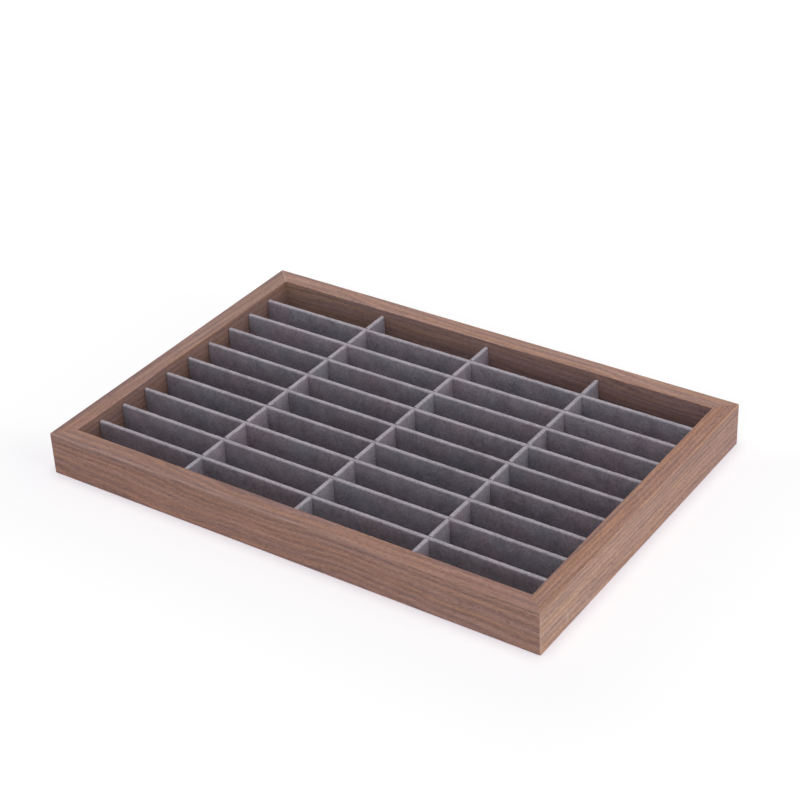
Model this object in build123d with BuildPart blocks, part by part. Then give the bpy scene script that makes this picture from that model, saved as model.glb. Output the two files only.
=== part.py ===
from build123d import *
import os

# Bracelet display tray: a mitred walnut frame with a captured base panel and a lined floor,
# filled by an egg-crate grid of fabric-covered boards that half-lap into each other.
# Millimetres, +X along the long side, +Y to the back, +Z up, origin under the middle of the tray.

# Outside of the frame
tray_length = 355.0
tray_depth = 245.0
rail_height = 29.5
rail_width = 12.5
rail_edge_radius = 0.5
frame_corner_radius = 0.6

# Groove in the rails and the panel that it holds
panel_recess = 3.0
panel_thickness = 3.0
panel_slack = 0.2
groove_depth = 5.0
panel_edge_gap = 0.6

# Loose tongue hidden inside each mitre
tongue_span = 8.0
tongue_height = 14.0
tongue_thickness = 3.0
tongue_clearance = 0.1

# Fabric and the lined floor
fabric_thickness = 0.5
liner_board_thickness = 1.0
liner_side_gap = 0.4
liner_edge_radius = 0.4

# Divider grid
columns = 4
rows = 10
board_thickness = 2.0
divider_drop = 4.5
divider_end_gap = 0.2
divider_edge_radius = 1.05
divider_end_chamfer = 0.45
slot_side_clearance = 0.1
lap_clearance = 0.2

# Levels above the surface that the tray stands on
panel_top = panel_recess + panel_thickness
groove_top = panel_top + panel_slack
liner_board_top = panel_top + liner_board_thickness
floor_top = liner_board_top + fabric_thickness
divider_top = rail_height - divider_drop
divider_height = divider_top - floor_top
lap_level = floor_top + divider_height / 2
tongue_level = (groove_top + rail_height) / 2

# Plan sizes inside the frame
inner_length = tray_length - 2 * rail_width
inner_depth = tray_depth - 2 * rail_width
divider_thickness = board_thickness + 2 * fabric_thickness
slot_width = divider_thickness + 2 * slot_side_clearance
cell_length = (inner_length - (columns - 1) * divider_thickness) / columns
cell_depth = (inner_depth - (rows - 1) * divider_thickness) / rows
column_pitch = cell_length + divider_thickness
row_pitch = cell_depth + divider_thickness
cross_places = [(i - columns / 2) * column_pitch for i in range(1, columns)]
long_places = [(i - rows / 2) * row_pitch for i in range(1, rows)]
long_divider_length = inner_length - 2 * divider_end_gap
cross_divider_length = inner_depth - 2 * divider_end_gap

os.makedirs("parts", exist_ok=True)


def save(built, name):
    """Label one finished piece and write it as its own file."""
    built.part.label = name
    export_step(built.part, f"parts/{name}.step")


def mitre_plane(corner, into_rail, up_from):
    """Plane of a 45 degree mitre: its normal runs into the rail and its y axis points up."""
    along_mitre = Vector(0, 0, 1).cross(into_rail)
    return Plane(origin=corner + Vector(0, 0, up_from), x_dir=along_mitre, z_dir=into_rail)


def make_whole_frame():
    """The frame before it is cut at the mitres: grooved inside, with its outer edges eased."""
    on_floor = (Align.CENTER, Align.CENTER, Align.MIN)
    with BuildPart() as frame:
        Box(tray_length, tray_depth, rail_height, align=on_floor)
        fillet(frame.edges().filter_by(Axis.Z), radius=frame_corner_radius)
        Box(inner_length, inner_depth, rail_height, align=on_floor, mode=Mode.SUBTRACT)
        underside, *_, rim = frame.faces().sort_by(Axis.Z)
        fillet(underside.edges() + rim.edges(), radius=rail_edge_radius)
        with BuildSketch(Plane.XY.offset(panel_recess)):
            Rectangle(inner_length + 2 * groove_depth, inner_depth + 2 * groove_depth)
        extrude(amount=groove_top - panel_recess, mode=Mode.SUBTRACT)
    return frame.part


def make_rail(name, whole_frame, outer_middle, run, inward, length):
    """One rail of the frame, mitred at both ends, with a mortise in each mitre face."""
    start = outer_middle - run * (length / 2)
    end = outer_middle + run * (length / 2)
    mitre_middle = inward * (rail_width / 2)
    with BuildPart() as rail:
        add(whole_frame)
        for corner, towards_middle in ((start, run), (end, -run)):
            into_rail = (towards_middle - inward).normalized()
            split(bisect_by=mitre_plane(corner, into_rail, 0), keep=Keep.TOP)
        for corner, towards_middle in ((start, run), (end, -run)):
            into_rail = (towards_middle - inward).normalized()
            mitre_centre = corner + towards_middle * (rail_width / 2) + mitre_middle
            with BuildSketch(mitre_plane(mitre_centre, into_rail, tongue_level)):
                SlotOverall(
                    tongue_height + 2 * tongue_clearance,
                    tongue_thickness + 2 * tongue_clearance,
                    rotation=90,
                )
            extrude(amount=tongue_span / 2 + tongue_clearance, mode=Mode.SUBTRACT)
    save(rail, name)


def make_corner_tongue(name, side_x, side_y):
    """Loose tongue with rounded ends, standing across one mitre."""
    centre_x = side_x * (tray_length - rail_width) / 2
    centre_y = side_y * (tray_depth - rail_width) / 2
    across_joint = Vector(side_x, -side_y, 0).normalized()
    with BuildPart() as tongue:
        with BuildSketch(mitre_plane(Vector(centre_x, centre_y, 0), across_joint, tongue_level)):
            SlotOverall(tongue_height, tongue_thickness, rotation=90)
        extrude(amount=tongue_span / 2, both=True)
    save(tongue, name)


def make_base_panel():
    """Thin panel whose four edges sit in the grooves of the rails."""
    held = 2 * (groove_depth - panel_edge_gap)
    with BuildPart() as base_panel:
        with BuildSketch(Plane.XY.offset(panel_recess)):
            Rectangle(inner_length + held, inner_depth + held)
        extrude(amount=panel_thickness)
    save(base_panel, "base_panel")


def make_liner():
    """Stiff board on the base panel, and the fabric over its top and turned down its edges."""
    cover_length = inner_length - 2 * liner_side_gap
    cover_depth = inner_depth - 2 * liner_side_gap
    with BuildPart() as liner_board:
        with BuildSketch(Plane.XY.offset(panel_top)):
            Rectangle(cover_length - 2 * fabric_thickness, cover_depth - 2 * fabric_thickness)
        extrude(amount=liner_board_thickness)
    save(liner_board, "floor_liner_board")
    with BuildPart() as liner_cover:
        with BuildSketch(Plane.XY.offset(panel_top)):
            Rectangle(cover_length, cover_depth)
        extrude(amount=floor_top - panel_top)
        fillet(liner_cover.faces().sort_by(Axis.Z)[-1].edges(), radius=liner_edge_radius)
        add(liner_board.part, mode=Mode.SUBTRACT)
    save(liner_cover, "floor_liner_cover")


def make_divider(name, upright, length, laps, slots_open_up):
    """One divider standing on the floor: a slotted board and the fabric folded over it.

    upright is the vertical plane through the middle of the divider's thickness.
    laps are the places along the divider where it crosses the others.
    """
    if slots_open_up:
        slot_bottom = lap_level - lap_clearance / 2
        slot_top = divider_top + fabric_thickness
    else:
        slot_bottom = floor_top - fabric_thickness
        slot_top = lap_level + lap_clearance / 2
    with BuildPart() as slots:
        with BuildSketch(upright):
            with Locations(*[(place, (slot_bottom + slot_top) / 2) for place in laps]):
                Rectangle(slot_width, slot_top - slot_bottom)
        extrude(amount=divider_thickness, both=True)
    board_height = divider_height - fabric_thickness
    with BuildPart() as board:
        with BuildSketch(upright):
            with Locations((0, floor_top + board_height / 2)):
                Rectangle(length - 2 * fabric_thickness, board_height)
        extrude(amount=board_thickness / 2, both=True)
    whole_board = board.part
    with BuildPart() as slotted_board:
        add(whole_board)
        add(slots.part, mode=Mode.SUBTRACT)
    save(slotted_board, f"{name}_board")
    with BuildPart() as cover:
        with BuildSketch(upright):
            with Locations((0, floor_top + divider_height / 2)):
                Rectangle(length, divider_height)
        extrude(amount=divider_thickness / 2, both=True)
        run = Axis(upright.origin, upright.x_dir)
        ends = cover.faces().sort_by(run)
        end_edges = ends[0].edges() + ends[-1].edges()
        chamfer(end_edges.sort_by(Axis.Z)[2:], length=divider_end_chamfer)
        top_edges = cover.faces().sort_by(Axis.Z)[-1].edges().filter_by(run)
        fillet(top_edges, radius=divider_edge_radius)
        add(whole_board, mode=Mode.SUBTRACT)
        add(slots.part, mode=Mode.SUBTRACT)
    save(cover, f"{name}_cover")


# Frame
forward = Vector(0, 1, 0)
rightward = Vector(1, 0, 0)
front_middle = Vector(0, -tray_depth / 2, 0)
right_middle = Vector(tray_length / 2, 0, 0)
whole_frame = make_whole_frame()
make_rail("front_rail", whole_frame, front_middle, rightward, forward, tray_length)
make_rail("back_rail", whole_frame, -front_middle, -rightward, -forward, tray_length)
make_rail("left_rail", whole_frame, -right_middle, -forward, rightward, tray_depth)
make_rail("right_rail", whole_frame, right_middle, forward, -rightward, tray_depth)
for end_name, side_y in (("front", -1), ("back", 1)):
    for side_name, side_x in (("left", -1), ("right", 1)):
        make_corner_tongue(f"{end_name}_{side_name}_tongue", side_x, side_y)

# Floor
make_base_panel()
make_liner()

# Divider grid: the cross dividers open upwards and the long dividers drop down over them
for number, place in enumerate(cross_places, start=1):
    middle = Plane(origin=(place, 0, 0), x_dir=(0, 1, 0), z_dir=(1, 0, 0))
    make_divider(f"cross_divider_{number}", middle, cross_divider_length, long_places, True)
for number, place in enumerate(long_places, start=1):
    middle = Plane(origin=(0, place, 0), x_dir=(1, 0, 0), z_dir=(0, -1, 0))
    make_divider(f"long_divider_{number}", middle, long_divider_length, cross_places, False)
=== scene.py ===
# %% [markdown]
# # A bracelet display tray in walnut and grey microfibre
#
# The tray is a mitred walnut frame with a lined floor. A grid of fabric-covered boards stands on the
# floor and makes forty narrow compartments. The rails, boards and panel arrive as finished CAD parts,
# so this script gives them their wood and paper. It makes the fabric anew, because cloth that is folded
# over a board has soft edges and a pile, and a plain CAD shell can't show them.

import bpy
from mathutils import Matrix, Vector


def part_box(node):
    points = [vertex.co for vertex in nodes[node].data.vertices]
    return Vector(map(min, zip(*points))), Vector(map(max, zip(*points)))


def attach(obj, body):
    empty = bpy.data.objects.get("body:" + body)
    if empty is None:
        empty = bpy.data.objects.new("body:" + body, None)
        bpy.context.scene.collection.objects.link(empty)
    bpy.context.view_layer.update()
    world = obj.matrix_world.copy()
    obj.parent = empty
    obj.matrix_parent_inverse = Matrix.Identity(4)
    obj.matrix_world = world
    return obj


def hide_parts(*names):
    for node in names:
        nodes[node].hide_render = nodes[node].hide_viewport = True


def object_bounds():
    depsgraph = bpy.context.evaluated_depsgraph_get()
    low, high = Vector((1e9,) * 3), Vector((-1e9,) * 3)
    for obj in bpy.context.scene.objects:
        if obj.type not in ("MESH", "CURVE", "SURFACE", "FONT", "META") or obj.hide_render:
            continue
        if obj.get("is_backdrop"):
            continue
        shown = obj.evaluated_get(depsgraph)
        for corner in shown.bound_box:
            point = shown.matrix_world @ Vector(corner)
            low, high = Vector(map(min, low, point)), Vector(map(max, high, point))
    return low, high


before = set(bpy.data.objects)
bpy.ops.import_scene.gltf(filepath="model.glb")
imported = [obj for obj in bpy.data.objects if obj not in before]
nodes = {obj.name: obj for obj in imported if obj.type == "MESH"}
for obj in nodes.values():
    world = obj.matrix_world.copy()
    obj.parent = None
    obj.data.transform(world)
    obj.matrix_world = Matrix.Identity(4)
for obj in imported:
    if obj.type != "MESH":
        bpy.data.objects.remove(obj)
cad_low, cad_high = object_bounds()

# %% Libraries and the tray's outer size
import math

import bpy
from mathutils import Matrix, Vector

tray_length, tray_depth, rim_level = cad_high - cad_low


def add_object(name, data):
    """Put a camera, a lamp or a mesh into the scene."""
    added = bpy.data.objects.new(name, data)
    bpy.context.scene.collection.objects.link(added)
    return added


print("tray", round(tray_length, 4), round(tray_depth, 4), round(rim_level, 4), "m")

# %% [markdown]
# ## The camera
#
# The photograph looks down on the front right corner with a long lens. A camera is easiest to place the
# way a photographer would describe it: how far round the tray, how high, how far away, and how much the
# camera body leans. The look-at point slides a little across the picture so that the tray sits where it
# does in the photograph, and no lens shift is needed.

# %% Camera
camera_around = math.radians(35.13)
camera_up = math.radians(32.135)
camera_lean = math.radians(-2.716)
camera_distance = 1.2941
camera_slide = (0.00257, 0.03659)
camera_lens = 92.075
sensor_width = 36.0

back = Vector((
    math.sin(camera_around) * math.cos(camera_up),
    -math.cos(camera_around) * math.cos(camera_up),
    math.sin(camera_up),
))
level_right = Vector((math.cos(camera_around), math.sin(camera_around), 0))
level_up = back.cross(level_right)
lean_cos, lean_sin = math.cos(camera_lean), math.sin(camera_lean)
right = level_right * lean_cos + level_up * lean_sin
up = level_up * lean_cos - level_right * lean_sin

camera_data = bpy.data.cameras.new("camera")
camera_data.lens = camera_lens
camera_data.sensor_width = sensor_width
camera = add_object("camera", camera_data)
camera.rotation_mode = "QUATERNION"
camera.rotation_quaternion = Matrix((right, up, back)).transposed().to_quaternion()
camera.location = back * camera_distance + right * camera_slide[0] + up * camera_slide[1]
bpy.context.scene.camera = camera
print("camera at", tuple(round(v, 3) for v in camera.location))

# %% [markdown]
# ## A short way to write node trees
#
# Every finish here is a node tree, and so is the fabric's shape. Written out in full, a tree is mostly
# repeated calls, so small helpers do that work. An input is either a plain value or another node's
# output, which is linked. Many nodes have more sockets than they show, and which ones are in use depends
# on their settings, so the helpers set those first and then count only the sockets in use.

# %% Helpers for any node tree
def put(tree, kind, inputs=None, **settings):
    """Add a node, set its properties, and fill or link its inputs, by name or by number."""
    made = tree.nodes.new(kind)
    for name, value in settings.items():
        setattr(made, name, value)
    in_use = [s for s in made.inputs if s.enabled]
    by_name = {s.name: s for s in reversed(in_use)}
    for key, value in (inputs or {}).items():
        socket = in_use[key] if isinstance(key, int) else by_name[key]
        if isinstance(value, bpy.types.NodeSocket):
            tree.links.new(value, socket)
        else:
            socket.default_value = value
    return made


def result_of(made):
    """The first output that the node's settings leave in use."""
    return next(s for s in made.outputs if s.enabled)


def calc(tree, operation, *values):
    """One Math node, as its output."""
    return result_of(put(tree, "ShaderNodeMath", dict(enumerate(values)), operation=operation))


def vector(tree, operation, *values):
    """One Vector Math node, as its output."""
    return result_of(put(tree, "ShaderNodeVectorMath", dict(enumerate(values)), operation=operation))


def joined(tree, **parts):
    """A vector made from its parts X, Y and Z."""
    return result_of(put(tree, "ShaderNodeCombineXYZ", parts))


def parts_of(tree, whole):
    """The X, Y and Z parts of a vector."""
    return put(tree, "ShaderNodeSeparateXYZ", {"Vector": whole}).outputs


def spread(tree, value, low, high, low_out=0.0, high_out=1.0):
    """Map a range of values onto another, and hold it there."""
    return result_of(put(tree, "ShaderNodeMapRange", {
        "Value": value, "From Min": low, "From Max": high, "To Min": low_out, "To Max": high_out,
    }))


def noise(tree, where, scale=1.0, detail=2.0, roughness=0.5):
    """One Noise Texture on the given coordinates, as its 0 to 1 output."""
    inputs = {"Vector": where, "Scale": scale, "Detail": detail, "Roughness": roughness}
    return put(tree, "ShaderNodeTexNoise", inputs).outputs[0]


print("helpers for trees ready")

# %% Helpers for finishes
def object_place(tree):
    """The point's own coordinates on its piece."""
    return put(tree, "ShaderNodeTexCoord").outputs["Object"]


def stretched(tree, where, scale, offset=(0, 0, 0), turn=0.0):
    """Coordinates that are turned, moved and scaled before a texture reads them."""
    inputs = {"Vector": where, "Location": offset, "Rotation": (0, 0, turn), "Scale": scale}
    return put(tree, "ShaderNodeMapping", inputs).outputs[0]


def between(tree, share, first, second):
    """Mix two colours by a share from 0 to 1."""
    return result_of(put(
        tree, "ShaderNodeMix", {"Factor": share, "A": first, "B": second}, data_type="RGBA"))


def layered(tree, layers):
    """Add up noises round their middle value of a half, each with its own weight."""
    total = 0.5
    for layer, weight in layers:
        total = calc(tree, "MULTIPLY_ADD", calc(tree, "SUBTRACT", layer, 0.5), weight, total)
    return total


def ramped(tree, share, stops):
    """A colour from a ramp, whose stops are given as place and colour."""
    ramp = put(tree, "ShaderNodeValToRGB", {"Fac": share})
    elements = ramp.color_ramp.elements
    elements.remove(elements[1])
    first, *others = stops.items()
    elements[0].position, elements[0].color = first
    for position, colour in others:
        elements.new(position).color = colour
    return ramp.outputs[0]


def empty_tree(owner):
    """The node tree of a material or a world, without the nodes that it starts with."""
    owner.use_nodes = True
    owner.node_tree.nodes.clear()
    return owner.node_tree


def new_finish(name, constants):
    """A material with one Principled shader, whose constant inputs are set on the shader itself."""
    finish = bpy.data.materials.new(name)
    tree = empty_tree(finish)
    shader = put(tree, "ShaderNodeBsdfPrincipled", constants)
    put(tree, "ShaderNodeOutputMaterial", {"Surface": shader.outputs[0]})
    return finish, tree, shader


def cover_shader(tree, shader, colour, height, strength, distance):
    """Give the shader its colour, and bumps from a height pattern."""
    tree.links.new(colour, shader.inputs["Base Color"])
    bump = put(tree, "ShaderNodeBump", {"Strength": strength, "Distance": distance, "Height": height})
    tree.links.new(bump.outputs[0], shader.inputs["Normal"])


def rgb(red, green, blue):
    """A linear colour."""
    return (red, green, blue, 1.0)


def dress(piece, finish):
    """Give a CAD piece a finish through its material slots."""
    for slot in piece.material_slots:
        slot.material = finish


busy_range = (0.30, 0.70)
slow_range = (0.36, 0.64)
print("a busy noise is taken to fill", busy_range, "and a slow one", slow_range)

# %% [markdown]
# ## Walnut
#
# A plank is cut from a log, so its grain is a slice through rings. The shader does the same: it measures
# how far a point is from the middle of an imagined log that lies along the rail, and cuts that distance
# into rings. Because the rings fill space, the lines on a rail's top carry on down its side, as they do
# in solid wood. Four layers of noise go over them, from broad bands to short flecks, and a slow sway
# bends them all together, since grain that runs dead straight looks printed.

# %% Rings and streaks
log_slope = math.radians(1.1)
sway_height, sway_waves = 0.012, (8, 25, 25)
ring_wander, wander_waves = 1.8, (7, 45, 45)
ring_weight = 0.15
# Each layer: how fine it is along the log and across it, its detail and roughness, and its weight
grain_layers = {
    "bands": ((5, 120, 120), 3.0, 0.6, 0.37),
    "streaks": ((14, 520, 520), 2.0, 0.6, 0.33),
    "hairs": ((60, 1500, 1500), 3.0, 0.7, 0.44),
    "flecks": ((420, 1700, 1700), 1.0, 0.5, 0.42),
}


def along_the_log(tree, along_y, log_middle):
    """Coordinates with the log along X, and a slow sway across it."""
    turn = (math.pi / 2 if along_y else 0.0) + log_slope
    turned = stretched(tree, object_place(tree), (1, 1, 1), log_middle, turn)
    slow = calc(tree, "SUBTRACT", noise(tree, stretched(tree, turned, sway_waves)), 0.5)
    sway = calc(tree, "MULTIPLY", slow, sway_height)
    return vector(tree, "ADD", turned, joined(tree, Y=sway, Z=sway))


def wood_grain(tree, along, ring_spacing):
    """How dark the figure is, round a half, and its layer of hair lines."""
    across = parts_of(tree, along)
    squares = [calc(tree, "MULTIPLY", across[axis], across[axis]) for axis in "YZ"]
    radius = calc(tree, "SQRT", calc(tree, "ADD", *squares))
    wander = noise(tree, stretched(tree, along, wander_waves))
    count = calc(tree, "MULTIPLY_ADD", wander, ring_wander, calc(tree, "DIVIDE", radius, ring_spacing))
    late_wood = calc(tree, "MULTIPLY", calc(tree, "PINGPONG", count, 0.5), 2.0)
    layers = [(late_wood, ring_weight)]
    found = {}
    for name, (scale, detail, roughness, weight) in grain_layers.items():
        found[name] = noise(tree, stretched(tree, along, scale), 1.0, detail, roughness)
        layers.append((found[name], weight))
    return layered(tree, layers), found["hairs"]


print("the grain sways by up to", sway_height / 2 * 1000, "mm")

# %% [markdown]
# ## Colour of the walnut
#
# Several things change the colour on top of the grain. The hue drifts between tan and grey mauve in long
# streaks, and short dark pores run along the grain. A rail's rim, its outer side and its inner face each
# get their own tint, which changes slowly from one end to the other; these tints are partly the wood's
# own tone and partly painted light and shade, most of all a cooler painted shade on the inner faces of
# the back and left rails, darker on the left. The figure is calmer inside. A pale line runs along the
# eased outer edges, most of all at the corners: partly finish rubbed thin and partly a painted highlight
# where the rounded edges catch the light. A pale line runs along the mitre at the back left, and two
# scuffs lie low on the right rail. Each rail is cut from its own log, so no two rails match at a mitre.

# %% Rim, edges, pale mitre line and inner faces of the frame
rim_fade = 0.003
edge_fade = (0.0004, 0.0011)
# How pale the edge line gets at the corners and along the edges: partly wear, partly a painted
# highlight.
corner_wear_and_highlight, edge_wear_and_highlight = 0.65, 0.35
# A pale line along the mitre at the back left, paler on the rim than on the sides.
mitre_line_fade = (0.0001, 0.0005)
mitre_line_on_sides = 0.4
inner_fade = (0.0005, 0.0001)
inner_fade_down = 0.001
rail_low, rail_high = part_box("front_rail")
rail_width = rail_high.y - rail_low.y


def frame_places(tree, along_y):
    """From 0 to 1: on the rim, an outer edge, the pale mitre line, along the rail, and on an inner face.
    """
    place = object_place(tree)
    parts = parts_of(tree, place)
    from_end = calc(tree, "SUBTRACT", tray_length / 2, calc(tree, "ABSOLUTE", parts["X"]))
    from_front = calc(tree, "SUBTRACT", tray_depth / 2, calc(tree, "ABSOLUTE", parts["Y"]))
    from_rim = calc(tree, "SUBTRACT", rim_level, parts["Z"])
    from_corner = calc(tree, "MAXIMUM", from_end, from_front)
    from_outside = calc(tree, "MINIMUM", from_end, from_front)
    from_edge = calc(tree, "MAXIMUM", from_outside, from_rim)
    # The outer edges and corners: a pale line that is partly worn finish and partly a painted highlight.
    edge = calc(tree, "MAXIMUM", spread(tree, from_corner, *edge_fade, corner_wear_and_highlight, 0.0),
                spread(tree, from_edge, *edge_fade, edge_wear_and_highlight, 0.0))
    inner_face = spread(tree, from_outside, *(rail_width - fade for fade in inner_fade))
    inside = calc(tree, "MULTIPLY", inner_face, spread(tree, from_rim, 0.0, inner_fade_down))
    near_rim = spread(tree, from_rim, 0.0, rim_fade, 1.0, 0.0)
    rim = calc(tree, "MULTIPLY", near_rim, calc(tree, "SUBTRACT", 1.0, inside))
    diagonal = calc(tree, "ADD", parts["X"], parts["Y"])
    past_mitre = calc(tree, "ADD", diagonal, (tray_length - tray_depth) / 2)
    from_mitre = calc(tree, "ABSOLUTE", calc(tree, "DIVIDE", past_mitre, math.sqrt(2)))
    mitre_line = calc(tree, "MULTIPLY", spread(tree, from_mitre, *mitre_line_fade, 1.0, 0.0),
                spread(tree, rim, 0.0, 1.0, mitre_line_on_sides, 1.0))
    half = (tray_depth if along_y else tray_length) / 2
    run = spread(tree, parts["Y" if along_y else "X"], -half, half)
    return rim, edge, mitre_line, run, inside


# The pale edge line is partly rubbed-thin finish and partly a painted highlight.
print("the finish is rubbed thin over", round(edge_fade[1] * 1000, 1), "mm")

# %% Pale scuffs low on the right rail, as middle and half sizes
scuffs = [
    ((0.1775, -0.0927, 0.0075), (0.002, 0.0018, 0.0062)),
    ((0.1775, -0.0705, 0.0045), (0.002, 0.0014, 0.0032)),
]


def scuffed(tree):
    """From 0 to 1, how much a point is covered by one of the rub marks."""
    place = object_place(tree)
    covered = 0.0
    for middle, half_sizes in scuffs:
        away = vector(tree, "DIVIDE", vector(tree, "SUBTRACT", place, middle), half_sizes)
        mark = spread(tree, vector(tree, "LENGTH", away), 0.0, 1.0, 1.0, 0.0)
        covered = calc(tree, "MAXIMUM", covered, mark)
    return covered


print(len(scuffs), "scuffs")

# %% Walnut finish
walnut_ramp = {
    0.27: rgb(0.400, 0.236, 0.180),
    0.44: rgb(0.312, 0.172, 0.128),
    0.59: rgb(0.222, 0.124, 0.102),
    0.77: rgb(0.140, 0.077, 0.066),
}
inner_figure = 0.8
tan_hue, mauve_hue = rgb(1.035, 0.996, 0.905), rgb(0.97, 1.0, 1.09)
hue_waves = (8, 190, 190)
pore_waves, pore_range = (300, 2000, 2000), (0.58, 0.70)
pore_strength, pore_colour = 0.45, rgb(0.105, 0.058, 0.048)
# Colour of the pale edge line: partly worn finish, partly a painted highlight.
worn_and_highlight_colour = rgb(0.52, 0.37, 0.29)
mitre_line_strength, mitre_line_colour = 0.6, rgb(0.48, 0.37, 0.32)
scuff_strength, scuff_colour = 0.35, rgb(0.62, 0.50, 0.47)
hair_relief, pore_relief = 0.5, 0.7


def walnut(name, along_y, log_middle, ring_spacing, rim_tone_and_light, side_tone_and_light, inner_tone_and_shade, pale_mitre):
    """Walnut for one rail. Each pair of looks tints a face at the rail's two ends, with the wood's tone
    and painted light and shade.
    """
    finish, tree, shader = new_finish(name, {"Roughness": 0.55, "Specular IOR Level": 0.28})
    along = along_the_log(tree, along_y, log_middle)
    figure, hairs = wood_grain(tree, along, ring_spacing)
    rim, edge, mitre_line, run, inside = frame_places(tree, along_y)
    contrast = spread(tree, inside, 0.0, 1.0, 1.0, inner_figure)
    colour = ramped(tree, layered(tree, [(figure, contrast)]), walnut_ramp)
    drift = noise(tree, stretched(tree, along, hue_waves))
    hue = between(tree, spread(tree, drift, *slow_range), tan_hue, mauve_hue)
    colour = vector(tree, "MULTIPLY", colour, hue)
    short_lines = noise(tree, stretched(tree, along, pore_waves), detail=1.0)
    pores = spread(tree, short_lines, *pore_range)
    colour = between(tree, calc(tree, "MULTIPLY", pores, pore_strength), colour, pore_colour)
    # Each face's tint is partly the wood's tone and partly painted light and shade; on the inner faces
    # it is painted shade.
    rim_light_tint, side_light_tint, inner_shade_tint = (
        between(tree, run, rgb(*first_end), rgb(*last_end))
        for first_end, last_end in (rim_tone_and_light, side_tone_and_light, inner_tone_and_shade))
    wall_light_tint = between(tree, inside, side_light_tint, inner_shade_tint)
    colour = vector(tree, "MULTIPLY", colour, between(tree, rim, wall_light_tint, rim_light_tint))
    # Pale marks over the colour: the edge line, partly worn finish and partly painted highlight, then
    # the pale mitre line and the scuffs.
    for share, strength, pale in (
        (edge, drift, worn_and_highlight_colour),
        (mitre_line, mitre_line_strength if pale_mitre else 0.0, mitre_line_colour),
        (scuffed(tree), scuff_strength, scuff_colour),
    ):
        colour = between(tree, calc(tree, "MULTIPLY", share, strength), colour, pale)
    height = calc(tree, "SUBTRACT", calc(tree, "MULTIPLY", hairs, hair_relief),
                  calc(tree, "MULTIPLY", pores, pore_relief))
    cover_shader(tree, shader, colour, height, strength=0.5, distance=0.00015)
    return finish


print("walnut has", len(walnut_ramp), "tones from early to late wood")

# %% A log, and tints of tone and painted light and shade, for each rail
rail_cuts = {
    "front_rail": dict(
        along_y=False, log_middle=(0.13, 0.165, 0.031), ring_spacing=0.0034, pale_mitre=False,
        rim_tone_and_light=((0.935, 0.959, 0.992), (1.003, 0.99, 1.028)),
        side_tone_and_light=((0.999, 0.964, 0.961), (1.045, 1.046, 1.028)),
        inner_tone_and_shade=((0.999, 0.964, 0.961), (1.045, 1.046, 1.028)),
    ),
    "back_rail": dict(
        along_y=False, log_middle=(0.71, -0.052, 0.044), ring_spacing=0.0031, pale_mitre=True,
        rim_tone_and_light=((1.217, 1.307, 1.386), (1.238, 1.284, 1.24)),
        side_tone_and_light=((1.04, 1.05, 1.03), (1.02, 1.02, 1.05)),
        inner_tone_and_shade=((1.06, 1.20, 1.26), (0.915, 1.035, 1.30)),
    ),
    "left_rail": dict(
        along_y=True, log_middle=(0.37, 0.113, 0.052), ring_spacing=0.0031, pale_mitre=True,
        rim_tone_and_light=((0.884, 0.868, 0.899), (0.984, 1.102, 1.191)),
        side_tone_and_light=((1.0, 0.98, 0.98), (1.03, 1.03, 1.02)),
        inner_tone_and_shade=((0.85, 0.905, 0.955), (0.85, 0.905, 0.955)),
    ),
    "right_rail": dict(
        along_y=True, log_middle=(1.09, -0.246, 0.036), ring_spacing=0.0024, pale_mitre=False,
        rim_tone_and_light=((1.115, 1.105, 1.054), (1.168, 1.115, 1.027)),
        side_tone_and_light=((1.41, 1.502, 1.368), (1.074, 1.117, 1.189)),
        inner_tone_and_shade=((1.09, 1.12, 1.10), (1.05, 1.08, 1.10)),
    ),
}
for rail, cut in rail_cuts.items():
    dress(nodes[rail], walnut("walnut_" + rail, **cut))
print("walnut on", ", ".join(rail_cuts))

# %% [markdown]
# ## The hidden wood and board
#
# The base panel is a thin board with a walnut veneer, the tongues in the mitres are pale beech, and the
# dividers stiffen their fabric with pressed grey paper board. None of it shows from the front, but the
# panel is the whole underside, and the board shows in every slot once a divider is lifted out. Veneer
# is sliced from a log too, so it takes the rails' grain, cut flat near the middle, where the figure is
# wide.

# %% Panel, tongues and paper board
veneer_log_middle = (0.43, 0.045, 0.034)
veneer_ring_spacing = 0.0042
veneer_ramp = {
    0.30: rgb(0.380, 0.238, 0.176),
    0.50: rgb(0.272, 0.160, 0.120),
    0.74: rgb(0.150, 0.086, 0.068),
}
fleck_scale = 1500


def veneer():
    """Walnut veneer on the base panel, in one wide leaf."""
    finish, tree, shader = new_finish("panel_veneer", {"Roughness": 0.62, "Specular IOR Level": 0.3})
    along = along_the_log(tree, False, veneer_log_middle)
    figure, hairs = wood_grain(tree, along, veneer_ring_spacing)
    cover_shader(tree, shader, ramped(tree, figure, veneer_ramp), hairs, strength=0.35, distance=0.0001)
    return finish


def flecked(name, dark, light, upright_scale, rough):
    """A plain stock with fine flecks: long ones for beech, even ones for paper board."""
    finish, tree, shader = new_finish(name, {"Roughness": rough, "Specular IOR Level": 0.25})
    place = stretched(tree, object_place(tree), (fleck_scale, fleck_scale, upright_scale))
    flecks = noise(tree, place, 1.0, 5.0, 0.65)
    colour = between(tree, flecks, dark, light)
    cover_shader(tree, shader, colour, flecks, strength=0.4, distance=0.00008)
    return finish


hidden_finishes = {
    "base_panel": veneer(),
    "_tongue": flecked("beech", dark=rgb(0.44, 0.30, 0.19), light=rgb(0.66, 0.49, 0.33),
                       upright_scale=150, rough=0.7),
    "_board": flecked("paper_board", dark=rgb(0.20, 0.19, 0.18), light=rgb(0.42, 0.40, 0.37),
                      upright_scale=fleck_scale, rough=0.9),
}
for name, piece in nodes.items():
    for ending, finish in hidden_finishes.items():
        if name.endswith(ending):
            dress(piece, finish)
print("hidden finishes:", ", ".join(f.name for f in hidden_finishes.values()))

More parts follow.
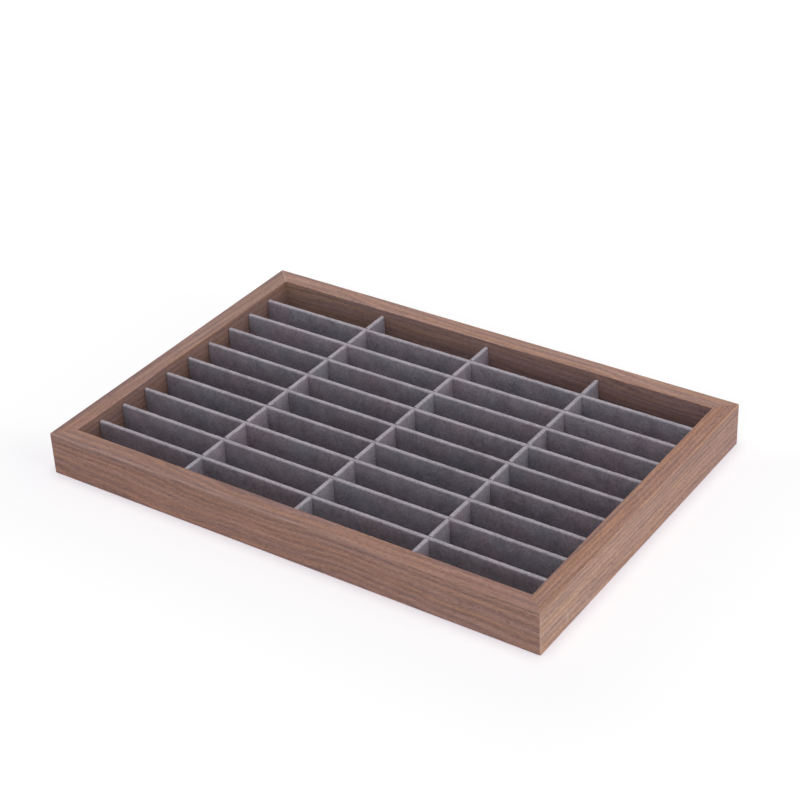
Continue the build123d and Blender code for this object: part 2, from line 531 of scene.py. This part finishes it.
# %% [markdown]
# ## Grey microfibre
#
# Microfibre suede has a short brushed pile. Four effects make it read as cloth and not as grey card. The
# nap lies in soft cloudy patches, the fibres give a fine grain, each divider is a little lighter or
# darker than the next, and a ragged pale line runs where the cloth is folded over an edge: partly pile
# opened at the fold and partly a painted highlight where the top catches the light. The fold and the
# tone are attributes that the shape's own tree writes, so the pale line stays on the fold wherever a
# divider is lifted to.

# %% Microfibre finish
nap_dark, nap_light = rgb(0.155, 0.138, 0.163), rgb(0.319, 0.282, 0.318)
warm_hue, cool_hue = rgb(1.03, 0.975, 0.99), rgb(0.945, 1.01, 1.02)
# Colour of the pale line along the fold: partly opened pile, partly a painted highlight.
fold_highlight_colour = rgb(0.390, 0.355, 0.389)
least_fold_highlight = 0.40
fibre_shades = (0.82, 1.18)
fibre_relief = 0.6
# Each noise: how fine it is, its detail and its roughness
cloth_noises = {
    "patches": (100.0, 3.0, 0.6),
    "strokes": (600.0, 2.0, 0.6),
    "fibres": (1500.0, 2.0, 0.7),
    "drift": (38.0, 2.0, 0.5),
}


def microfibre():
    """Brushed grey suede cloth, paler along its folds: partly opened pile and partly a painted
    highlight.
    """
    finish, tree, shader = new_finish("microfibre", {
        "Roughness": 0.95,
        "Specular IOR Level": 0.15,
        "Sheen Weight": 0.35,
        "Sheen Roughness": 0.45,
        "Sheen Tint": rgb(0.92, 0.86, 0.92),
    })
    place = object_place(tree)
    patches, strokes, fibres, drift = (noise(tree, place, *look) for look in cloth_noises.values())
    tone, fold = (
        put(tree, "ShaderNodeAttribute", attribute_name=name).outputs["Fac"]
        for name in ("tone", "fold"))
    nap = layered(tree, [(patches, 0.50), (strokes, 0.56)])
    pile = between(tree, spread(tree, nap, *busy_range), nap_dark, nap_light)
    hue = between(tree, spread(tree, drift, *slow_range), warm_hue, cool_hue)
    tinted = vector(tree, "MULTIPLY", vector(tree, "SCALE", pile, tone), hue)
    frayed = layered(tree, [(strokes, 1.0), (patches, 0.8)])
    # The ragged pale line along the fold, partly opened pile and partly a painted highlight.
    ragged = calc(tree, "MULTIPLY", fold, spread(tree, frayed, *busy_range, least_fold_highlight, 1.0))
    pile_with_fold_highlight = between(tree, ragged, tinted, fold_highlight_colour)
    colour = vector(tree, "SCALE", pile_with_fold_highlight, spread(tree, fibres, *busy_range, *fibre_shades))
    height = calc(tree, "ADD", calc(tree, "MULTIPLY", fibres, fibre_relief), strokes)
    cover_shader(tree, shader, colour, height, strength=0.6, distance=0.00025)
    return finish


microfibre_cloth = microfibre()
print("finish", microfibre_cloth.name)

# %% [markdown]
# ## Cloth folded over a board
#
# All twelve divider covers follow one rule, and so does the floor's cover: cloth goes over the top of a
# board and down its sides, open underneath, with slots where another divider crosses. That is a job for
# one Geometry Nodes tree with named sizes. It starts from a finely divided block, opens the bottom and
# the slots, rounds every edge by pulling points onto a rounded box, and roughens the surface a little
# with noise. The order matters: points first snap to the slot edges, so that the openings are straight.

# %% The inputs of the cover tree
cover_tree = bpy.data.node_groups.new("cloth_over_board", "GeometryNodeTree")
cover_inputs = {
    "Length": 0.3, "Thickness": 0.003, "Height": 0.0175, "Edge Radius": 0.001, "End Radius": 0.001,
    "Slot Count": 3.0, "Slot Pitch": 0.08, "Slot Width": 0.0036, "Slot Low": 0.0, "Slot High": 0.0,
    "Length Steps": 280.0, "Thickness Steps": 12.0, "Height Steps": 20.0, "Edge Steps": 4.0,
    "Pile Height": 0.0001, "Seed": 0.0, "Turn": 0.0, "Tone": 1.0,
}
for name, value in cover_inputs.items():
    socket = cover_tree.interface.new_socket(name=name, in_out="INPUT", socket_type="NodeSocketFloat")
    socket.default_value = value
cover_tree.interface.new_socket(name="Place", in_out="INPUT", socket_type="NodeSocketVector")
cover_tree.interface.new_socket(name="Cloth", in_out="INPUT", socket_type="NodeSocketMaterial")
cover_tree.interface.new_socket(name="Geometry", in_out="OUTPUT", socket_type="NodeSocketGeometry")
given = cover_tree.nodes.new("NodeGroupInput").outputs
print("cover tree inputs:", len(given) - 1)

# %% Sums and shapes in the cover tree
def sized(operation, *values):
    """One Math node in the cover tree."""
    return calc(cover_tree, operation, *values)


def shaped(kind, inputs, **settings):
    """One node of the cover tree that makes or changes the cloth."""
    return put(cover_tree, kind, inputs, **settings).outputs[0]


def halved(value):
    """Half of a size."""
    return sized("MULTIPLY", value, 0.5)


def doubled(value):
    """Twice a size."""
    return sized("MULTIPLY", value, 2.0)


edge, end = given["Edge Radius"], given["End Radius"]
position = put(cover_tree, "GeometryNodeInputPosition").outputs[0]
here = parts_of(cover_tree, position)
print("the cover tree reads its own radii and the position of each point")

# %% A divided block whose steps are finer near its edges
def graded(coordinate, half_size, steps, radius):
    """Move evenly spaced planes of points so that the last few lie inside the rounded edge."""
    share = sized("DIVIDE", given["Edge Steps"], halved(steps))
    inner = sized("SUBTRACT", 1.0, share)
    reach = sized("DIVIDE", sized("ABSOLUTE", coordinate), half_size)
    along_flat = sized("MINIMUM", sized("DIVIDE", reach, inner), 1.0)
    along_edge = sized("MAXIMUM", sized("DIVIDE", sized("SUBTRACT", reach, inner), share), 0.0)
    flat_size = sized("SUBTRACT", half_size, radius)
    on_flat = sized("MULTIPLY", along_flat, flat_size)
    on_edge = sized("MULTIPLY", along_edge, radius)
    return sized("MULTIPLY", sized("ADD", on_flat, on_edge), sized("SIGN", coordinate))


def points_for(steps):
    """The number of points that a number of steps needs."""
    return sized("ADD", steps, 1.0)


block_steps_up = doubled(given["Height Steps"])
block = shaped("GeometryNodeMeshCube", {
    "Size": joined(cover_tree, X=given["Length"], Y=given["Thickness"], Z=doubled(given["Height"])),
    "Vertices X": points_for(given["Length Steps"]),
    "Vertices Y": points_for(given["Thickness Steps"]),
    "Vertices Z": points_for(block_steps_up),
})
graded_x = graded(here["X"], halved(given["Length"]), given["Length Steps"], end)
graded_y = graded(here["Y"], halved(given["Thickness"]), given["Thickness Steps"], edge)
graded_z = graded(here["Z"], given["Height"], block_steps_up, edge)
print("block of cloth steps, twice as high as the cover, so that its top half is the cover")

# %% Points snapped to the slot edges
snap_share_along = 0.55
snap_share_up = 0.6
slot_margin = 0.00001
half_slot = halved(given["Slot Width"])
last_slot = sized("SUBTRACT", given["Slot Count"], 1.0)
middle_index = halved(last_slot)


def from_slot(coordinate):
    """The nearest slot's middle along the cover, and the distance from it."""
    index = sized("ROUND", sized("ADD", sized("DIVIDE", coordinate, given["Slot Pitch"]), middle_index))
    kept = sized("MAXIMUM", sized("MINIMUM", index, last_slot), 0.0)
    middle = sized("MULTIPLY", sized("SUBTRACT", kept, middle_index), given["Slot Pitch"])
    return middle, sized("SUBTRACT", coordinate, middle)


def snapped(value, target, reach):
    """The target where the value is within reach of it, and the value elsewhere."""
    near = sized("COMPARE", value, target, reach)
    far = sized("SUBTRACT", 1.0, near)
    return sized("ADD", sized("MULTIPLY", near, target), sized("MULTIPLY", far, value))


slot_middle, slot_distance = from_slot(graded_x)
length_step = sized("DIVIDE", given["Length"], given["Length Steps"])
height_step = sized("DIVIDE", given["Height"], given["Height Steps"])
side_distance = snapped(
    sized("ABSOLUTE", slot_distance), half_slot, sized("MULTIPLY", length_step, snap_share_along))
side = sized("MULTIPLY", side_distance, sized("SIGN", slot_distance))
snapped_x = sized("ADD", slot_middle, side)
in_slot = sized("LESS_THAN", side_distance, sized("ADD", half_slot, slot_margin))
height_reach = sized("MULTIPLY", sized("MULTIPLY", height_step, snap_share_up), in_slot)
snapped_z = snapped(snapped(graded_z, given["Slot Low"], height_reach), given["Slot High"], height_reach)
placed = shaped("GeometryNodeSetPosition", {
    "Geometry": block, "Position": joined(cover_tree, X=snapped_x, Y=graded_y, Z=snapped_z)})
print("slot edges are straight")

# %% The open bottom and the slots
here_distance = from_slot(here["X"])[1]
from_slot_middle = sized("ABSOLUTE", here_distance)
across = sized("LESS_THAN", from_slot_middle, half_slot)
above = sized("GREATER_THAN", here["Z"], given["Slot Low"])
below = sized("LESS_THAN", here["Z"], given["Slot High"])
slot_faces = sized("MULTIPLY", across, sized("MULTIPLY", above, below))
under_faces = sized("LESS_THAN", here["Z"], 0.0)
cut_away = sized("GREATER_THAN", sized("ADD", slot_faces, under_faces), 0.5)
opened = shaped("GeometryNodeDeleteGeometry", {"Geometry": placed, "Selection": cut_away}, domain="FACE")
print("the cover is open underneath and at its slots")

# %% Rounded edges, and the fold and tone attributes
fold_range = (0.26, 0.80)


def edge_core(coordinate, half_size, radius):
    """The nearest coordinate on the block that is smaller by the edge radius."""
    limit = sized("SUBTRACT", half_size, radius)
    low = sized("MULTIPLY", limit, -1.0)
    return sized("MAXIMUM", sized("MINIMUM", coordinate, limit), low)


def noted(cloth, name, value):
    """Store a number on every point of the cloth, for the finish to read."""
    return shaped("GeometryNodeStoreNamedAttribute", {"Geometry": cloth, "Name": name, "Value": value},
                  data_type="FLOAT", domain="POINT")


core = joined(
    cover_tree,
    X=edge_core(here["X"], halved(given["Length"]), end),
    Y=edge_core(here["Y"], halved(given["Thickness"]), edge),
    Z=sized("MINIMUM", here["Z"], sized("SUBTRACT", given["Height"], edge)),
)
radii = joined(cover_tree, X=end, Y=edge, Z=edge)
from_core = vector(cover_tree, "DIVIDE", vector(cover_tree, "SUBTRACT", position, core), radii)
outward = vector(cover_tree, "NORMALIZE", from_core)
on_rounded_box = vector(cover_tree, "ADD", core, vector(cover_tree, "MULTIPLY", outward, radii))
fold = spread(cover_tree, parts_of(cover_tree, outward)["Z"], *fold_range)
marked = noted(noted(opened, "fold", fold), "tone", given["Tone"])
rounded = shaped("GeometryNodeSetPosition", {"Geometry": marked, "Position": on_rounded_box})
print("edges rounded, and the fold is marked for the finish")

# %% Pile, place and material
waves_per_metre, tufts_per_metre = 160.0, 620.0
tuft_weight = 0.7
slot_stiffness = (0.0001, 0.002)
seed_slant = 1.7
seed = joined(cover_tree, X=given["Seed"], Y=sized("MULTIPLY", given["Seed"], seed_slant))
seeded = vector(cover_tree, "ADD", position, seed)
waves = sized("SUBTRACT", noise(cover_tree, seeded, waves_per_metre, detail=1.0), 0.5)
tufts = sized("SUBTRACT", noise(cover_tree, seeded, tufts_per_metre, detail=1.0), 0.5)
lift = sized("ADD", waves, sized("MULTIPLY", tufts, tuft_weight))
past_slot = sized("SUBTRACT", from_slot_middle, half_slot)
freedom = spread(cover_tree, past_slot, *slot_stiffness)
pile = sized("MULTIPLY", sized("MULTIPLY", lift, freedom), given["Pile Height"])
normal = put(cover_tree, "GeometryNodeInputNormal").outputs[0]
ruffled = shaped("GeometryNodeSetPosition", {
    "Geometry": rounded, "Offset": vector(cover_tree, "SCALE", normal, pile)})
stood = shaped("GeometryNodeTransform", {
    "Geometry": ruffled, "Translation": given["Place"], "Rotation": joined(cover_tree, Z=given["Turn"])})
smooth = shaped("GeometryNodeSetShadeSmooth", {"Geometry": stood})
real = shaped("GeometryNodeRealizeInstances", {"Geometry": smooth})
dressed = shaped("GeometryNodeSetMaterial", {"Geometry": real, "Material": given["Cloth"]})
tree_end = cover_tree.nodes.new("NodeGroupOutput")
cover_tree.links.new(dressed, tree_end.inputs["Geometry"])
print("cover tree has", len(cover_tree.nodes), "nodes")

# %% [markdown]
# ## From tree to pieces
#
# A modifier runs the tree, and the evaluated result is read back as a plain mesh, because only plain
# meshes are exported. Solidify then gives the cloth its half millimetre, inwards, so that the cover hugs
# its board. Inputs are set by their identifiers, since two inputs could share a name.

# %% A cover made from its sizes
cloth_thickness = 0.00046
input_keys = {s.name: s.identifier for s in cover_tree.interface.items_tree if s.in_out == "INPUT"}


def fold_cloth(name, body, stands_for, sizes):
    """Run the cover tree with these sizes and return the finished cloth as a plain mesh piece."""
    piece = add_object(name, bpy.data.meshes.new(name))
    modifier = piece.modifiers.new("cloth", "NODES")
    modifier.node_group = cover_tree
    for words, value in {**sizes, "Cloth": microfibre_cloth}.items():
        modifier[input_keys[words]] = value
    thick = piece.modifiers.new("thickness", "SOLIDIFY")
    thick.thickness = cloth_thickness
    thick.offset = -1.0
    thick.use_even_offset = True
    depsgraph = bpy.context.evaluated_depsgraph_get()
    made = bpy.data.meshes.new_from_object(piece.evaluated_get(depsgraph))
    piece.modifiers.clear()
    piece.data = made
    made.name = name
    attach(piece, body)
    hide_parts(stands_for)
    return piece


print("cloth is", cloth_thickness * 1000, "mm thick")

# %% [markdown]
# ## The twelve divider covers
#
# The long dividers run unbroken along the top and their slots open downwards. The cross dividers have
# theirs cut from above, so the long ones drop over them: the half lap of an egg crate. The box of each
# CAD cover gives the size and place, and the spacing of the crossing dividers gives the slots.

# %% Sizes and tones of the divider covers
slot_width = 0.0032
lap_gap = 0.0002
edge_radius = 0.00135
end_radius = 0.0003
end_reach = 0.00015
step = 0.0009
pile_height = 0.0003
well_past = 0.01
seed_step, cross_divider_seed = 3.1, 40.0
long_divider_tones = (1.06, 0.98, 0.975, 0.93, 0.875, 1.01, 1.01, 1.16, 1.12)
cross_divider_tone = 1.08
print("folds have a radius of", edge_radius * 1000, "mm")

# %% Divider covers
def spacing(kind):
    """How many dividers of a kind there are, and the distance between two of them."""
    middles = []
    while f"{kind}_{len(middles) + 1}_cover" in nodes:
        low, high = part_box(f"{kind}_{len(middles) + 1}_cover")
        middles.append((low + high) / 2)
    return len(middles), (middles[1] - middles[0]).length


def cover_divider(kind, number, crossed_by, opens_up):
    """The cloth of one divider, made in place of its CAD cover."""
    low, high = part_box(f"{kind}_{number}_cover")
    size = high - low
    along_y = size.y > size.x
    length, thickness = (size.y, size.x) if along_y else (size.x, size.y)
    count, pitch = spacing(crossed_by)
    lap = size.z / 2
    body = "cross_dividers" if kind == "cross_divider" else f"{kind}_{number}"
    middle = (low + high) / 2
    piece = fold_cloth(f"{kind}_{number}_fabric", body, f"{kind}_{number}_cover", {
        "Length": length + 2 * end_reach, "Thickness": thickness, "Height": size.z,
        "Edge Radius": edge_radius, "End Radius": end_radius,
        "Slot Count": float(count), "Slot Pitch": pitch, "Slot Width": slot_width,
        "Slot Low": lap - lap_gap / 2 if opens_up else -well_past,
        "Slot High": size.z + well_past if opens_up else lap + lap_gap / 2,
        "Length Steps": float(round(length / step)), "Thickness Steps": 12.0, "Height Steps": 22.0,
        "Edge Steps": 4.0, "Pile Height": pile_height,
        "Seed": number * seed_step + (cross_divider_seed if along_y else 0.0),
        "Turn": math.pi / 2 if along_y else 0.0, "Place": (middle.x, middle.y, low.z),
        "Tone": cross_divider_tone if along_y else long_divider_tones[number - 1],
    })
    return piece


covers = []
for kind, crossed_by, opens_up in (
    ("long_divider", "cross_divider", False),
    ("cross_divider", "long_divider", True),
):
    for number in range(1, spacing(kind)[0] + 1):
        covers.append(cover_divider(kind, number, crossed_by, opens_up))
print(len(covers), "covers,", sum(len(c.data.polygons) for c in covers), "faces")

# %% [markdown]
# ## The floor's cover
#
# The floor is the same cloth laid over a thin board, with its edges turned down. It has no slots, so the
# slot width is nothing.

# %% Floor cover
low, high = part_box("floor_liner_cover")
size = high - low
floor_edge_radius = 0.0005
floor_step = 0.0022
floor_cloth = fold_cloth("floor_liner_fabric", "tray", "floor_liner_cover", {
    "Length": size.x, "Thickness": size.y, "Height": size.z,
    "Edge Radius": floor_edge_radius, "End Radius": floor_edge_radius,
    "Slot Count": 1.0, "Slot Pitch": 1.0, "Slot Width": 0.0,
    "Slot Low": -well_past, "Slot High": -well_past,
    "Length Steps": float(2 * round(size.x / floor_step / 2)),
    "Thickness Steps": float(2 * round(size.y / floor_step / 2)),
    "Height Steps": 6.0, "Edge Steps": 3.0, "Pile Height": pile_height / 2, "Seed": 90.0,
    "Turn": 0.0, "Place": ((low.x + high.x) / 2, (low.y + high.y) / 2, low.z),
})
print("floor cover", len(floor_cloth.data.polygons), "faces")

# %% [markdown]
# ## Floor, backdrop and light
#
# The tray is lit as in a plain product shot on white: a broad soft light overhead, a second one at table
# height on the right, and a weaker one that fills in from the front. Far soft boxes are the same as sun
# lamps with a wide angle, and a sun lights the whole ground alike, so the ground stays even. The ground
# bounces light on the tray as any pale surface does. What the camera sees of it is lifted to white,
# through Light Path, and the tray's own faint shadow still shows in the part that isn't lifted. In front
# and on the right the lift is less, and least next to the tray, which paints a wide, very faint shadow
# there; behind and on the left it is more, which paints out the right lamp's long faint shadow.

# %% Ground colours, with a painted faint shadow next to the tray
ground_reach = 3.0
ground_bounce = rgb(0.86, 0.86, 0.87)
ground_seen = rgb(0.627, 0.679, 0.606)
# The lift is higher behind, which paints out the right lamp's long faint shadow, lower in front, and
# lowest next to the tray, where it paints a faint wide shadow.
lift_behind = rgb(0.428, 0.378, 0.452)
lift_in_front = rgb(0.397, 0.347, 0.420)
lift_in_painted_shadow = rgb(0.342, 0.285, 0.374)
painted_shadow_reach = 0.1
towards_front = (1.0, -1.8, 0.0)
front_range = (-0.08, 0.0)


def camera_sees(tree):
    """1 for rays from the camera, and for what gloss and glass show of the same background."""
    path = put(tree, "ShaderNodeLightPath").outputs
    mirrored = calc(tree, "MAXIMUM", path["Is Glossy Ray"], path["Is Transmission Ray"])
    return calc(tree, "MAXIMUM", path["Is Camera Ray"], mirrored)


def lift_with_painted_shadow(tree):
    """The lift is less in front and on the right, and least of all next to the tray, which paints a
    faint shadow there.
    """
    place = object_place(tree)
    half_sizes = (tray_length / 2, tray_depth / 2, 0)
    past_side = vector(tree, "SUBTRACT", vector(tree, "ABSOLUTE", place), half_sizes)
    away = vector(tree, "LENGTH", vector(tree, "MAXIMUM", past_side, (0, 0, 0)))
    near = spread(tree, away, 0.0, painted_shadow_reach, 1.0, 0.0)
    in_front = spread(tree, vector(tree, "DOT_PRODUCT", place, towards_front), *front_range)
    return between(tree, in_front, lift_behind, between(tree, near, lift_in_front, lift_in_painted_shadow))


# The painted shadow reaches this far from the tray.
print("the wash reaches", painted_shadow_reach * 1000, "mm from the tray")

# %% Ground
def ground_finish():
    """Pale ground: the camera sees it lifted to white, and it still takes shadows."""
    finish = bpy.data.materials.new("ground")
    tree = empty_tree(finish)
    seen = camera_sees(tree)
    pale = put(tree, "ShaderNodeBsdfDiffuse", {"Color": between(tree, seen, ground_bounce, ground_seen)})
    lift = put(tree, "ShaderNodeEmission", {"Color": lift_with_painted_shadow(tree), "Strength": seen})
    both = put(tree, "ShaderNodeAddShader", {0: pale.outputs[0], 1: lift.outputs[0]})
    put(tree, "ShaderNodeOutputMaterial", {"Surface": both.outputs[0]})
    return finish


ground_mesh = bpy.data.meshes.new("ground")
corners = [
    (x * ground_reach, y * ground_reach, cad_low.z) for x, y in ((-1, -1), (1, -1), (1, 1), (-1, 1))]
ground_mesh.from_pydata(corners, [], [(0, 1, 2, 3)])
ground_mesh.materials.append(ground_finish())
ground = add_object("ground", ground_mesh)
ground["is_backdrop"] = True
print("ground", 2 * ground_reach, "m wide")

# %% World
even_light = 0.20
world = bpy.data.worlds.new("studio")
bpy.context.scene.world = world
sky = empty_tree(world)
sky_strength = calc(sky, "MAXIMUM", camera_sees(sky), even_light)
background = put(sky, "ShaderNodeBackground", {"Color": rgb(1, 1, 1), "Strength": sky_strength})
put(sky, "ShaderNodeOutputWorld", {"Surface": background.outputs[0]})
print("even light from all round:", even_light)

# %% Lamps, as degrees round from the front, degrees up, and share of a full sun
soft_lamps = {
    "overhead": (0, 90, 0.62),
    "right_side": (90, 5, 0.63),
    "front_fill": (5, 20, 0.24),
}
lamp_softness = math.radians(36)
for name, (around, height, share) in soft_lamps.items():
    lamp_data = bpy.data.lights.new(name, "SUN")
    lamp_data.energy = share * math.pi
    lamp_data.angle = lamp_softness
    lamp = add_object(name, lamp_data)
    turn, rise = math.radians(around), math.radians(height)
    outwards = Vector((
        math.sin(turn) * math.cos(rise), -math.cos(turn) * math.cos(rise), math.sin(rise)))
    lamp.rotation_mode = "QUATERNION"
    lamp.rotation_quaternion = (-outwards).to_track_quat("-Z", "Y")
    lamp.location = outwards
print("lamps", ", ".join(soft_lamps))

# %% [markdown]
#
# Cloth may stand a little proud of the CAD model, and nothing else may. Both boxes are kept side by side
# so that the difference can be read.

# %% View settings, sizes and finish
bpy.context.scene.view_settings.view_transform = "Standard"
dressed_low, dressed_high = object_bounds()
grown = max(max(cad_low - dressed_low), max(dressed_high - cad_high))
print("stands proud of the CAD box by", round(grown * 1000, 3), "mm")
